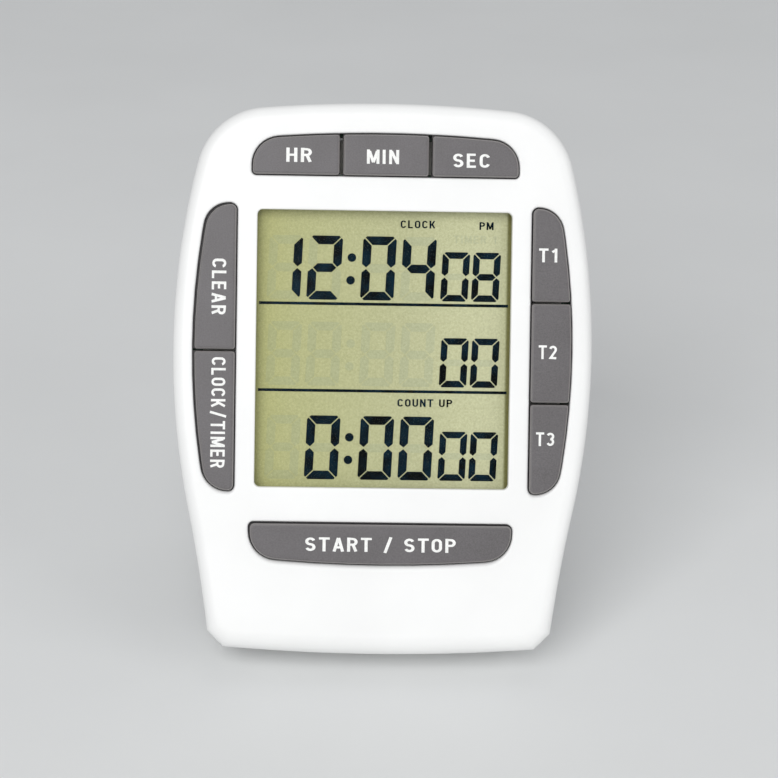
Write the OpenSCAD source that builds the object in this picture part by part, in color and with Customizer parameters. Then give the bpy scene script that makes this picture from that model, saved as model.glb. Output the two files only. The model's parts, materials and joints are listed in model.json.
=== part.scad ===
// Three-channel lab timer that stands on a fold-out stand.
// Everything is drawn in the case's own frame: X to the right, Y from the face (0) to the back, and Z up the
// face from its lowest point. placed() then leans the case back until it rests on its land and its stand.

/* [Case] */
// Width of the case at its widest point
case_w = 70; // [69.6:0.1:70.4]
// Height of the case along its face
case_h = 92.2; // [91.8:0.1:92.6]
// Thickness of the case, face to back
case_d = 18; // [18:0.1:18.6]
// Thickness of the moulded walls
wall = 1.8; // [1.7:0.05:1.8]
// Depth of the front shell, from the face to the parting line
front_d = 9; // [9:0.1:9.4]
// Radius of the edge round the face
face_edge_r = 2.2; // [1.8:0.1:2.4]
// Radius of the edge round the back
back_edge_r = 4; // [3.6:0.1:4.2]
// How far the case leans back when it stands, in degrees
lean = 25; // [23:0.5:26]

/* [Display] */
// Width of the display opening
window_w = 42.4; // [42:0.1:42.6]
// Height of the display opening
window_h = 46.2; // [45.8:0.1:46.4]
// Height of the middle of the display above the bottom of the case
window_z = 51.2; // [51:0.1:51.4]
// Thickness of the clear window
window_t = 1; // [0.8:0.1:1]
// Thickness of one sheet of the display's glass
glass_t = 1.1; // [0.9:0.1:1.1]

/* [Keys] */
// How far a key stands out of the face
key_proud = 0.6; // [0.3:0.1:0.8]
// How far a key goes in
key_travel = 0.9; // [0.7:0.05:0.9]
// Gap between a key and the case
key_gap = 0.2; // [0.15:0.05:0.25]
// Gap between two keys of the top row
row_split = 0.6; // [0.4:0.1:0.7]
// Gap between two keys of a side column
column_split = 0.34; // [0.3:0.02:0.5]

/* [Stand] */
// Width of the stand
stand_w = 50; // [48:0.5:50]
// Thickness of the stand
stand_t = 2.2; // [2:0.1:2.2]
// Height of the stand's hinge up the back
hinge_z = 54; // [52:0.5:55]
// Diameter of the hinge pin
pin_d = 1.5; // [1.2:0.1:1.6]

/* [Battery] */
// Diameter of the AAA cell
cell_d = 10.5; // [10.3:0.1:10.5]
// Length of the AAA cell with its cap
cell_l = 44.5; // [44:0.1:44.5]

/* [Hidden] */
$fn = 48;

// Outline of the face
side_r = 130;
belly_z = 51;
top_r = 230;
top_corner_r = 12;
bottom_r = 324;
flank_top_z = 24;
flank_r = 224;
chamfer_low_x = 26.1;
chamfer_high_z = 3.8;

// Depths, from the face towards the back
gasket_t = 0.4;
polariser_t = 0.2;
window_low = window_z - window_h / 2;
window_high = window_z + window_h / 2;
gasket_y = wall + window_t;
polariser_y = gasket_y + gasket_t;
glass_y = polariser_y + polariser_t;
rear_glass_y = glass_y + glass_t;
reflector_y = rear_glass_y + glass_t;
frame_y = glass_y - 0.1;
board_y = 7.5;
board_t = 1.2;
board_back_y = board_y + board_t;
pocket_d = 2.6;
pocket_y = case_d - pocket_d;
pocket_wall = 1.2;
pocket_back_y = pocket_y - pocket_wall;

// Key stack behind the face
slip = 0.05;
flange_y = wall + slip;
flange_t = 0.8;
flange_reach = 0.8;
plunger_y = flange_y + flange_t;
pad_t = 0.05;
pad_r = 2;
pill_t = 0.5;
pill_r = 1.8;
pill_end_y = board_y - pad_t - key_travel - slip;
plunger_r = 2.3;
dome_hole_r = 2.45;
sheet_t = 0.55;

// Places that several parts share
case_screws_at = [[26.5, 80], [28.2, 21.5]];
board_screws_at = [[15, 78.5], [15, 23.8]];
magnets_at = [17, 69];
magnet_r = 6;
magnet_t = 2.3;
buzzer_z = 38;
buzzer_r = 10.3;
cell_y = 8.8;
cell_z = 10.2;
cell_x = 0.6;
cup_r = cell_d / 2 + 0.25;
cup_wall = 0.9;
contact_t = 0.4;
spring_l = 3.25;
nub_l = 1;
cell_left = cell_x - cell_l / 2;
cell_right = cell_x + cell_l / 2;
cup_left = cell_left - spring_l - contact_t;
cup_right = cell_right + contact_t;
door_w = 47.6;
door_low = 5.05;
door_high = 15.75;
tab_x = 13;

// Stand and its pocket
pocket_low = 4.5;
pocket_high = 57;
pocket_half = stand_w / 2 + 0.4;
pin_y = pocket_y + 0.1 + stand_t / 2;
pin_half = 27.6;
tip_z = 6;
tip_l = hinge_z - tip_z;
tail_l = 2.3;

// Resting place: the lean, and the flat cut where the back edge meets the surface
land_cut = 0.35;
edge_y = case_d - back_edge_r;
lift = edge_y * sin(lean) - back_edge_r * cos(lean) + back_edge_r - land_cut;
front_reach = face_edge_r * (cos(lean) + sin(lean) - 1);
back_reach = edge_y * cos(lean) + (case_h - back_edge_r) * sin(lean) + back_edge_r;
shift_y = -(front_reach + back_reach) / 2;
hinge_height = hinge_z * cos(lean) - pin_y * sin(lean) + lift;
stand_open = lean + acos((hinge_height - stand_t / 2) / tip_l);

// --- Outlines: lists of [x, z], anticlockwise as the face is seen ---

function unit(v) = v / norm(v);
function side_x(z) = case_w / 2 - side_r + sqrt(side_r * side_r - pow(z - belly_z, 2));
function top_z(x, crown, r) = crown - r + sqrt(r * r - x * x);
function bottom_z(x, low, r) = low + r - sqrt(r * r - x * x);
function flipped(pts) = [for (i = [len(pts) - 1:-1:0]) [-pts[i].x, pts[i].y]];
function arc(c, r, a, b, n) = [for (i = [0:n]) c + r * [cos(a + (b - a) * i / n), sin(a + (b - a) * i / n)]];

// Where a circle round a meets a circle round b, on the right of the way from b to a
function crossing(a, ra, b, rb) =
    let (
        d = norm(b - a),
        u = (b - a) / d,
        along = (ra * ra - rb * rb + d * d) / (2 * d),
        off = sqrt(ra * ra - along * along)
    )
    a + along * u - off * [u.y, -u.x];

// The right-hand half of the case: bottom arc, chamfer, hollow flank, side arc, corner, top arc
side_centre = [case_w / 2 - side_r, belly_z];
top_centre = [0, case_h - top_r];
corner_centre = crossing(side_centre, side_r - top_corner_r, top_centre, top_r - top_corner_r);
to_side = corner_centre - side_centre;
to_top = corner_centre - top_centre;
side_end = atan2(to_side.y, to_side.x);
top_start = atan2(to_top.y, to_top.x);
side_start = asin((flank_top_z - belly_z) / side_r);
flank_slope = (belly_z - flank_top_z) / (side_x(flank_top_z) - side_centre.x);

function flank_x(z) =
    let (below = flank_top_z - z)
    side_x(flank_top_z) - flank_slope * below + below * below / (2 * flank_r);

half_outline = concat(
    [for (i = [0:8]) let (x = chamfer_low_x * i / 8) [x, bottom_z(x, 0, bottom_r)]],
    [for (i = [0:4]) let (z = chamfer_high_z + (flank_top_z - chamfer_high_z) * i / 5) [flank_x(z), z]],
    arc(side_centre, side_r, side_start, side_end, 12),
    [for (i = [1:7]) arc(corner_centre, top_corner_r, side_end, top_start, 8)[i]],
    [for (i = [0:5]) arc(top_centre, top_r, top_start, 90, 6)[i]],
    [[0, case_h]]
);
// The mirrored half leaves out the two points that lie on the centreline
left_half = flipped(half_outline);
outline = concat(half_outline, [for (i = [1:len(left_half) - 2]) left_half[i]]);

// Each point moved outwards by d, so that every edge moves by d
function grow(pts, d) =
    let (n = len(pts))
    [for (i = [0:n - 1])
        let (
            before = unit(pts[i] - pts[(i + n - 1) % n]),
            after = unit(pts[(i + 1) % n] - pts[i]),
            n1 = [before.y, -before.x],
            n2 = [after.y, -after.x]
        )
        pts[i] + d * (n1 + n2) / (1 + n1 * n2)];

// A polygon whose corners [x, z, radius] are rounded; a radius of 0 leaves a point as it is
function rounded(corners) =
    let (n = len(corners))
    [for (i = [0:n - 1])
        let (
            p = [corners[i][0], corners[i][1]],
            r = corners[i][2],
            u = unit([corners[(i + n - 1) % n][0], corners[(i + n - 1) % n][1]] - p),
            v = unit([corners[(i + 1) % n][0], corners[(i + 1) % n][1]] - p),
            half = acos(u * v) / 2,
            c = p + unit(u + v) * r / sin(half),
            from = p + u * r / tan(half) - c,
            turn = 180 - 2 * half,
            start = atan2(from.y, from.x)
        )
        each (r == 0 ? [p] : arc(c, r, start, start + turn, 5))];

function box_outline(x0, x1, z0, z1, r) = rounded([[x0, z0, r], [x1, z0, r], [x1, z1, r], [x0, z1, r]]);

// Keys between x0 and x1 of the top row, whose upper edge follows the top of the case
row_low = 80.1;
row_high = 86.9;
row_r = 225;
row_half = 22.05;
function row_key(x0, x1, left_r, right_r, left_low_r, right_low_r) =
    let (n = round((x1 - x0) / 4.8))
    rounded(concat(
        [[x0, row_low, left_low_r], [x1, row_low, right_low_r], [x1, top_z(x1, row_high, row_r), right_r]],
        [for (i = [n - 1:-1:1]) let (x = x0 + (x1 - x0) * i / n) [x, top_z(x, row_high, row_r), 0]],
        [[x0, top_z(x0, row_high, row_r), left_r]]
    ));

// The long key at the bottom, whose lower edge follows the bottom of the case
start_low = 15.4;
start_high = 22.05;
start_half = 21.8;
start_r = 224;
start_outline = rounded(concat(
    [[-start_half, start_high, 0.8]],
    [[-start_half, bottom_z(start_half, start_low, start_r), 4.5]],
    [for (i = [-2:2]) let (x = start_half * i / 4) [x, bottom_z(x, start_low, start_r), 0]],
    [[start_half, bottom_z(start_half, start_low, start_r), 4.5]],
    [[start_half, start_high, 0.8]]
));

// Keys between z0 and z1 of the right-hand column, whose outer edge follows the side of the case
column_low = 27.5;
column_high = 75;
column_in = 24.65;
column_out = 31.35;
column_r = 126.3;
function column_x(z) = column_out - column_r + sqrt(column_r * column_r - pow(z - belly_z, 2));
// radii: outer low, outer high, inner low, inner high
function column_key(z0, z1, radii) =
    let (n = round((z1 - z0) / 5))
    rounded(concat(
        [[column_in, z0, radii[2]], [column_x(z0), z0, radii[0]]],
        [for (i = [1:n - 1]) let (z = z0 + (z1 - z0) * i / n) [column_x(z), z, 0]],
        [[column_x(z1), z1, radii[1]], [column_in, z1, radii[3]]]
    ));

// --- Keys ---

row_cut = 7.4;
row_gap = row_split / 2;
column_gap = column_split / 2;
clear_cut = 50.8;
timer_cuts = [42.6, 59.4];
small_r = 0.5;
outer_r = 4.5;
side_outer_r = 4.1;
side_inner_r = 0.9;
far = 60;
column_mid = 27.4;
row_mid = 83.3;
row_zone = row_key(-row_half, row_half, outer_r, outer_r, 0.6, 0.6);
column_zone = column_key(column_low, column_high, [side_outer_r, side_outer_r, side_inner_r, side_inner_r]);

// Radii of a column key with a free end above, with one below, and between two others
column_top_r = [small_r, side_outer_r, small_r, side_inner_r];
column_bottom_r = [side_outer_r, small_r, side_inner_r, small_r];
column_middle_r = [small_r, small_r, small_r, small_r];

// Name, outline, outline of the shared recess, [x, z] of the plunger, lowest and highest corner of the flange
KEYS = [
    ["hour", row_key(-row_half, -row_cut - row_gap, outer_r, small_r, 0.6, small_r),
        row_zone, [-14.9, row_mid], [-far, -far], [-row_cut - row_gap, 2 * far]],
    ["minute", row_key(-row_cut + row_gap, row_cut - row_gap, small_r, small_r, small_r, small_r),
        row_zone, [0, row_mid], [-row_cut + row_gap, -far], [row_cut - row_gap, 2 * far]],
    ["second", row_key(row_cut + row_gap, row_half, small_r, outer_r, small_r, 0.6),
        row_zone, [14.9, row_mid], [row_cut + row_gap, -far], [far, 2 * far]],
    ["clear", flipped(column_key(clear_cut + column_gap, column_high, column_top_r)),
        flipped(column_zone), [-column_mid, 63], [-far, clear_cut + column_gap], [far, 2 * far]],
    ["mode", flipped(column_key(column_low, clear_cut - column_gap, column_bottom_r)),
        flipped(column_zone), [-column_mid, 39], [-far, -far], [far, clear_cut - column_gap]],
    ["timer_1", column_key(timer_cuts[1] + column_gap, column_high, column_top_r),
        column_zone, [column_mid, 67], [-far, timer_cuts[1] + column_gap], [far, 2 * far]],
    ["timer_2", column_key(timer_cuts[0] + column_gap, timer_cuts[1] - column_gap, column_middle_r),
        column_zone, [column_mid, 51], [-far, timer_cuts[0] + column_gap], [far, timer_cuts[1] - column_gap]],
    ["timer_3", column_key(column_low, timer_cuts[0] - column_gap, column_bottom_r),
        column_zone, [column_mid, 35.4], [-far, -far], [far, timer_cuts[0] - column_gap]],
    ["start_stop", start_outline, start_outline, [0, 20], [-far, -far], [far, far]]
];

// --- Shapes ---

module placed() {
    translate([0, shift_y, lift])
        rotate([-lean, 0, 0])
            children();
}

// A flat outline given depth from y0 to y1
module prism(pts, y0, y1) {
    translate([0, y1, 0])
        rotate([90, 0, 0])
            linear_extrude(y1 - y0)
                polygon(pts);
}

module rod_y(at, r, y0, y1) {
    translate([at.x, y0, at.y])
        rotate([-90, 0, 0])
            cylinder(r = r, h = y1 - y0);
}

module rod_x(y, z, r, x0, x1) {
    translate([x0, y, z])
        rotate([0, 90, 0])
            cylinder(r = r, h = x1 - x0);
}

module slab(x0, x1, y0, y1, z0, z1) {
    translate([x0, y0, z0])
        cube([x1 - x0, y1 - y0, z1 - z0]);
}

module both_sides() {
    children();
    mirror([1, 0, 0])
        children();
}

// A closed skin through rings [y, how far the ring grows], front ring first
module skin(pts, rings) {
    n = len(pts);
    last = len(rings) - 1;
    polyhedron(
        points = [for (r = rings) for (p = grow(pts, r[1])) [p.x, r[0], p.y]],
        faces = concat(
            [[for (i = [n - 1:-1:0]) i]],
            [for (j = [0:last - 1]) for (i = [0:n - 1])
                [j * n + i, j * n + (i + 1) % n, (j + 1) * n + (i + 1) % n, (j + 1) * n + i]],
            [[for (i = [0:n - 1]) last * n + i]]
        )
    );
}

// Rings of a rounded edge of radius r on a skin that is inset by off: at the face y0, or at the back y1
function face_rings(r, y0, off) = [for (a = [90:-18:0]) [y0 + r * (1 - sin(a)), -off - r * (1 - cos(a))]];
function back_rings(r, y1, off) = [for (a = [0:18:90]) [y1 - r * (1 - sin(a)), -off - r * (1 - cos(a))]];

module back_outside() {
    skin(outline, concat([[front_d, 0]], back_rings(back_edge_r, case_d, 0)));
}

// A round wire through points, mitred at each; aside is any direction that the wire never runs along
module tube(points, r, aside = [1, 0, 0], sides = 8) {
    last = len(points) - 1;
    polyhedron(
        points = [for (i = [0:last])
            let (
                way = unit(points[min(i + 1, last)] - points[max(i - 1, 0)]),
                a = unit(cross(way, aside)),
                b = cross(way, a)
            )
            each [for (s = [0:sides - 1])
                let (turn = 360 * s / sides)
                points[i] + r * (a * cos(turn) + b * sin(turn))]],
        faces = concat(
            [[for (s = [0:sides - 1]) s]],
            [for (i = [0:last - 1]) for (s = [0:sides - 1])
                let (here = i * sides, there = here + sides, next = (s + 1) % sides)
                [here + s, there + s, there + next, here + next]],
            [[for (s = [sides - 1:-1:0]) last * sides + s]]
        )
    );
}

// --- Case ---

// How far a cutter runs past what it cuts
past = 1;
boss_r = 2.5;
boss_hole_r = 0.85;
post_r = 2.6;
screw_seat_y = 12;
screw_shank_r = 1;
screw_head_r = 1.7;
screw_head_t = 1.4;
window_corner_r = 0.9;
inner_edge_r = 0.6;
// The block that carries the ends of the hinge pin
block_half = 28.6;
block_low = 50.5;
// The ring that holds the sounder off its holes, and the holes
ring_r = 9.6;
ring_h = 1.3;
grille_hole_r = 0.7;
grille_pitch = 2.6;
// The lip that locates the front shell
lip_gap = 0.06;
lip_back = 0.7;
lip_h = 1.4;
// Slots in the cup, for the leads and for the door's tabs
lead_slot_w = 2.3;
lead_slot_d = 1.7;
tab_half = 2;
tab_gap = 0.4;
tab_low = 3.4;
tab_front_y = 13;

module front_shell() {
    color("white") placed() {
        difference() {
            skin(outline, concat(face_rings(face_edge_r, 0, 0), [[front_d, 0]]));
            skin(outline, concat(face_rings(inner_edge_r, wall, wall), [[front_d + past, -wall]]));
            prism(box_outline(-window_w / 2, window_w / 2, window_low, window_high, window_corner_r),
                -past, wall + past);
            for (zone = [row_zone, column_zone, flipped(column_zone), start_outline])
                prism(grow(zone, key_gap), -past, wall + past);
        }
        both_sides()
            for (at = case_screws_at)
                difference() {
                    rod_y(at, boss_r, wall - 0.1, front_d);
                    rod_y(at, boss_hole_r, wall + past, front_d + past);
                }
    }
}

// The pocket that the stand folds into
module pocket() {
    prism(box_outline(-pocket_half, pocket_half, pocket_low, pocket_high, 1.2), pocket_y, case_d + past);
}

// Everything that stands inside the rear shell, trimmed to its outside
module rear_inner() {
    intersection() {
        back_outside();
        union() {
            slab(-pocket_half - pocket_wall, pocket_half + pocket_wall, pocket_back_y, case_d,
                pocket_low - pocket_wall, pocket_high + pocket_wall);
            slab(-block_half, block_half, pocket_back_y, case_d, block_low, pocket_high + pocket_wall);
            both_sides() {
                for (at = case_screws_at)
                    rod_y(at, post_r, front_d, case_d);
                rod_y(magnets_at, magnet_r + pocket_wall, case_d - magnet_t - pocket_wall, case_d);
            }
        }
    }
    // A short ring holds the sounder off its holes
    difference() {
        rod_y([0, buzzer_z], buzzer_r, pocket_back_y - ring_h, pocket_back_y);
        rod_y([0, buzzer_z], ring_r, pocket_back_y - ring_h - past, pocket_back_y + past);
    }
}

// The cup that holds the cell, open at the back where the door closes it
module cell_cup() {
    difference() {
        union() {
            rod_x(cell_y, cell_z, cup_r + cup_wall, cup_left - cup_wall, cup_right + cup_wall);
            slab(cup_left - cup_wall, cup_right + cup_wall, cell_y, pocket_back_y + 0.1,
                cell_z - cup_r - cup_wall, cell_z + cup_r + cup_wall);
        }
        rod_x(cell_y, cell_z, cup_r, cup_left, cup_right);
        slab(cup_left, cup_right, cell_y, pocket_back_y + past, cell_z - cup_r, cell_z + cup_r);
        for (x = [cup_left, cup_right - lead_slot_w])
            slab(x, x + lead_slot_w, cell_y, cell_y + lead_slot_d, cell_z + cup_r - 0.5, cell_z + cup_r + 2);
        tab_slots(cell_z - cup_r + 0.4);
    }
}

module tab_slots(high) {
    both_sides()
        slab(tab_x - tab_half - tab_gap, tab_x + tab_half + tab_gap, tab_front_y, pocket_back_y + past,
            tab_low, high);
}

module rear_shell() {
    color("whitesmoke") placed()
        difference() {
            union() {
                difference() {
                    back_outside();
                    skin(outline,
                        concat([[front_d - past, -wall]], back_rings(back_edge_r - wall, case_d - wall, wall)));
                }
                // A lip inside the parting line locates the front shell
                difference() {
                    skin(outline, [[front_d - lip_h, -wall - lip_gap], [front_d + past, -wall - lip_gap]]);
                    skin(outline, [[front_d - 2, -wall - lip_back], [front_d + 2, -wall - lip_back]]);
                    both_sides()
                        for (at = case_screws_at)
                            rod_y(at, boss_r + 0.2, wall, front_d);
                }
                skin_ledge();
                rear_inner();
                cell_cup();
            }
            pocket();
            slab(-door_w / 2 - 0.2, door_w / 2 + 0.2, pocket_back_y - 0.05, case_d,
                door_low - 0.1, door_high + 0.2);
            tab_slots(door_low);
            both_sides() {
                for (at = case_screws_at) {
                    rod_y(at, screw_shank_r + 0.1, front_d - past, screw_seat_y + past);
                    rod_y(at, screw_head_r + 0.2, screw_seat_y, case_d + past);
                }
                rod_y(magnets_at, magnet_r, case_d - magnet_t, case_d + past);
            }
            // The pin is pressed into its bores
            rod_x(pin_y, hinge_z, pin_d / 2 - 0.02, -pin_half, pin_half);
            grille();
            resting_cut();
        }
}

// Joins the lip to the wall behind the parting line
module skin_ledge() {
    difference() {
        skin(outline, [[front_d, -wall + 0.1], [front_d + 1, -wall + 0.1]]);
        skin(outline, [[front_d - past, -wall - lip_back], [front_d + 2, -wall - lip_back]]);
    }
}

// A hole in the middle and two rings of six and twelve round it
module grille() {
    for (ring = [0:2], i = [0:max(0, ring * 6 - 1)])
        let (a = 60 * i / max(ring, 1))
            rod_y([0, buzzer_z] + grille_pitch * ring * [cos(a), sin(a)], grille_hole_r,
                pocket_back_y - past, pocket_y + past);
}

// Everything below the surface that the case stands on
module resting_cut() {
    rotate([lean, 0, 0])
        translate([0, -shift_y, -lift])
            slab(-case_w, case_w, -case_h, case_h, -case_h, 0);
}

module battery_door() {
    color("whitesmoke") placed() {
        difference() {
            slab(-door_w / 2, door_w / 2, pocket_back_y, pocket_y, door_low, door_high);
            // Thumb catch at the upper edge
            slab(-6, 6, pocket_y - 0.5, pocket_y + past, door_high - 1.6, door_high + past);
        }
        both_sides()
            slab(tab_x - tab_half, tab_x + tab_half, pocket_back_y - 0.7, pocket_back_y,
                door_low - 0.8, door_low + 1.2);
    }
}

stand_corner_r = 3;

// The stand's plate seen from the back, rounded at its foot
module stand_blank() {
    low = tip_z - stand_t / 2 - 0.01;
    high = hinge_z + tail_l + past;
    prism(rounded([
        [-stand_w / 2, low, stand_corner_r],
        [stand_w / 2, low, stand_corner_r],
        [stand_w / 2, high, 0],
        [-stand_w / 2, high, 0]
    ]), pin_y - stand_t, pin_y + stand_t);
}

module stand() {
    color("whitesmoke") placed()
        difference() {
            translate([0, pin_y, hinge_z])
                rotate([stand_open, 0, 0])
                    translate([0, -pin_y, -hinge_z])
                        difference() {
                            intersection() {
                                union() {
                                    slab(-stand_w / 2, stand_w / 2, pin_y - stand_t / 2, pin_y + stand_t / 2,
                                        tip_z, hinge_z + tail_l);
                                    rod_x(pin_y, tip_z, stand_t / 2, -stand_w / 2, stand_w / 2);
                                }
                                stand_blank();
                            }
                            rod_x(pin_y, hinge_z, pin_d / 2 + slip, -stand_w, stand_w);
                            // Window that lets the sounder and the door's catch be reached
                            prism(box_outline(-15, 15, 17, 44, 3), pin_y - stand_t, pin_y + stand_t);
                        }
            // The tail's face lies flat on the pocket's floor and stops the stand
            slab(-case_w, case_w, -past, pocket_y + slip, 0, case_h);
        }
}

module stand_pin() {
    color("silver") placed()
        rod_x(pin_y, hinge_z, pin_d / 2, -pin_half, pin_half);
}

// --- Display ---

window_reach = 1.7;
gasket_gap = 0.3;
glass_half = 22.6;
glass_low = 26.4;
glass_high = 76;
ledge = 2.2;

module sheet_between(x, z0, z1, y0, y1) {
    slab(-x, x, y0, y1, z0, z1);
}

module display_window() {
    color("lightcyan", 0.4) placed()
        slab(-window_w / 2 - window_reach, window_w / 2 + window_reach, wall, wall + window_t,
            window_low - window_reach, window_high + window_reach);
}

module display_gasket() {
    color("dimgray") placed()
        difference() {
            sheet_between(glass_half, glass_low, glass_high, gasket_y, gasket_y + gasket_t);
            sheet_between(window_w / 2 + gasket_gap, window_low - gasket_gap, window_high + gasket_gap,
                gasket_y - past, gasket_y + past);
        }
}

module lcd_front_polariser() {
    color("darkseagreen") placed()
        sheet_between(glass_half - 0.3, glass_low + 0.4, glass_high - 0.4, polariser_y, glass_y);
}

module lcd_front_glass() {
    color("honeydew") placed()
        sheet_between(glass_half, glass_low, glass_high, glass_y, rear_glass_y);
}

module lcd_rear_glass() {
    color("honeydew") placed()
        sheet_between(glass_half, glass_low + ledge, glass_high - ledge, rear_glass_y, reflector_y);
}

module lcd_reflector() {
    color("darkkhaki") placed()
        sheet_between(glass_half - 0.3, glass_low + ledge + 0.3, glass_high - ledge - 0.3,
            reflector_y, reflector_y + polariser_t);
}

frame_half = 23.7;
frame_low = 25.5;
frame_high = 76.9;
lug_r = 1.9;
strip_half = 21;
strip_t = 1.8;

module lcd_frame() {
    color("white") placed()
        difference() {
            union() {
                sheet_between(frame_half, frame_low, frame_high, frame_y, board_y);
                both_sides()
                    for (at = board_screws_at)
                        rod_y(at, lug_r, 4.6, board_y);
            }
            // Seats of the two glasses and of the reflector
            sheet_between(glass_half + slip, glass_low - slip, glass_high + slip, frame_y - past, rear_glass_y);
            sheet_between(glass_half + slip, glass_low + ledge - slip, glass_high - ledge + slip,
                rear_glass_y - 0.1, reflector_y + polariser_t);
            // Slots of the contact strips, and the open middle
            for (z = [glass_low + 0.1, glass_high - 0.1 - strip_t])
                sheet_between(strip_half + slip, z - slip, z + strip_t + slip, rear_glass_y - 0.1, board_y + past);
            sheet_between(glass_half - 2.6, glass_low + 5, glass_high - 5, frame_y, board_y + past);
            both_sides()
                for (at = board_screws_at)
                    rod_y(at, 0.6, 5, board_y + past);
        }
}

module contact_strip(z) {
    color("pink") placed()
        sheet_between(strip_half, z, z + strip_t, rear_glass_y, board_y);
}

module contact_strip_top() contact_strip(glass_high - 0.1 - strip_t);
module contact_strip_bottom() contact_strip(glass_low + 0.1);

// --- Circuit board and what it carries ---

board_low = 17;

module main_board() {
    color("darkgreen") placed()
        difference() {
            intersection() {
                prism(grow(outline, -2.6), board_y, board_back_y);
                slab(-case_w, case_w, 0, case_d, board_low, case_h);
            }
            both_sides() {
                for (at = case_screws_at)
                    rod_y(at, boss_r + 0.3, 0, case_d);
                for (at = board_screws_at)
                    rod_y(at, 0.85, 0, case_d);
            }
        }
}

module board_screws() {
    color("silver") placed()
        both_sides()
            for (at = board_screws_at) {
                rod_y(at, 0.7, 5.2, board_back_y);
                difference() {
                    rod_y(at, 1.4, board_back_y, board_back_y + 1);
                    cross_slot(at, board_back_y + 0.5, 1.8, 0.4);
                }
            }
}

// A cross slot from depth y backwards
module cross_slot(at, y, l, w) {
    slab(at.x - l / 2, at.x + l / 2, y, y + 2, at.y - w / 2, at.y + w / 2);
    slab(at.x - w / 2, at.x + w / 2, y, y + 2, at.y - l / 2, at.y + l / 2);
}

module case_screws() {
    color("silver") placed()
        both_sides()
            for (at = case_screws_at) {
                rod_y(at, screw_shank_r, 4, screw_seat_y);
                difference() {
                    rod_y(at, screw_head_r, screw_seat_y, screw_seat_y + screw_head_t);
                    cross_slot(at, screw_seat_y + 0.7, 2.2, 0.5);
                }
            }
}

// A low mound of resin over the timing chip
module chip_cover() {
    color("black") placed()
        translate([-9, board_back_y, 62])
            rotate([-90, 0, 0]) {
                cylinder(r1 = 5.4, r2 = 4.6, h = 0.9);
                translate([0, 0, 0.9])
                    cylinder(r1 = 4.6, r2 = 2.6, h = 0.5);
            }
}

module crystal() {
    can_r = 1;
    color("silver") placed()
        rod_x(board_back_y + can_r, 62, can_r, 2, 8);
}

module capacitors() {
    color("navy") placed()
        for (at = [[15, 66], [15, 60.5], [-17, 71]])
            rod_y(at, 2, board_back_y, board_back_y + 4.4);
}

module resistors() {
    color("black") placed()
        for (i = [0:5])
            slab(-4 + 3.2 * i, -2 + 3.2 * i, board_back_y, board_back_y + 0.5, 71, 72.25);
}

module buzzer_coil() {
    color("saddlebrown") placed() {
        at = [-19, 56];
        rod_y(at, 3, board_back_y, board_back_y + 0.8);
        rod_y(at, 2.2, board_back_y + 0.8, board_back_y + 3.4);
        rod_y(at, 3, board_back_y + 3.4, board_back_y + 4.2);
    }
}

module buzzer_transistor() {
    at = [19, 53];
    color("black") placed()
        difference() {
            rod_y(at, 2.4, board_back_y, board_back_y + 4.5);
            slab(at.x - 3, at.x + 3, board_back_y - 1, case_d, at.y + 1, at.y + 4);
        }
}

module buzzer_plate() {
    color("gold") placed()
        rod_y([0, buzzer_z], buzzer_r, pocket_back_y - 1.55, pocket_back_y - 1.3);
}

module buzzer_ceramic() {
    color("linen") placed()
        rod_y([0, buzzer_z], 7, pocket_back_y - 1.75, pocket_back_y - 1.55);
}

module buzzer_wires() {
    wire_r = 0.35;
    disc_y = pocket_back_y - 1.75;
    solder_y = board_back_y + wire_r;
    color("firebrick") placed() {
        tube([[3, disc_y - 0.4, buzzer_z + 2], [3, disc_y - 1.4, buzzer_z + 6], [3.6, 11, 50],
            [4, solder_y, 54]], wire_r);
        tube([[-9, disc_y - 0.3, buzzer_z], [-9, disc_y - 1.4, buzzer_z + 6], [-7, 11, 50],
            [-6, solder_y, 54]], wire_r);
    }
}

// --- Keys ---

// Front end, rounded edge and foot of a keycap
function cap_rings() = [
    [-key_proud, -0.4],
    [-key_proud + 0.12, -0.16],
    [-key_proud + 0.4, 0],
    [flange_y + 0.1, 0]
];

module key(k) {
    color("dimgray") placed() {
        skin(k[1], cap_rings());
        intersection() {
            prism(grow(k[2], flange_reach), flange_y, plunger_y);
            slab(k[4].x, k[5].x, 0, case_d, k[4].y, k[5].y);
        }
    }
}

// A silicone plunger with its carbon pill, which bridges the contacts when the key is down
module plunger(k) {
    color("gainsboro") placed() {
        rod_y(k[3], plunger_r, plunger_y, pill_end_y - pill_t);
        rod_y(k[3], pill_r, pill_end_y - pill_t, pill_end_y);
    }
}

// A silicone sheet on the board, with a hole for the plunger of each of its keys
module keypad(pts, keys) {
    color("gainsboro") placed()
        difference() {
            prism(pts, board_y - sheet_t, board_y);
            for (i = keys)
                rod_y(KEYS[i][3], dome_hole_r, 0, case_d);
        }
}

module keypad_top() keypad(box_outline(-21.5, 21.5, 80.6, 86.2, 1), [0, 1, 2]);
module keypad_left() keypad(box_outline(-30.2, -24.4, 28, 74.5, 1), [3, 4]);
module keypad_right() keypad(box_outline(24.4, 30.2, 28, 74.5, 1), [5, 6, 7]);
module keypad_start_stop() keypad(box_outline(-12, 12, 17.1, 22.9, 0.8), [8]);

module key_contacts() {
    color("gold") placed()
        for (k = KEYS)
            rod_y(k[3], pad_r, board_y - pad_t, board_y);
}

// --- Battery ---

module battery_cell() {
    color("orangered") placed()
        rod_x(cell_y, cell_z, cell_d / 2, cell_left, cell_right - nub_l);
}

module battery_cap() {
    color("silver") placed()
        rod_x(cell_y, cell_z, 1.9, cell_right - nub_l, cell_right);
}

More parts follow.
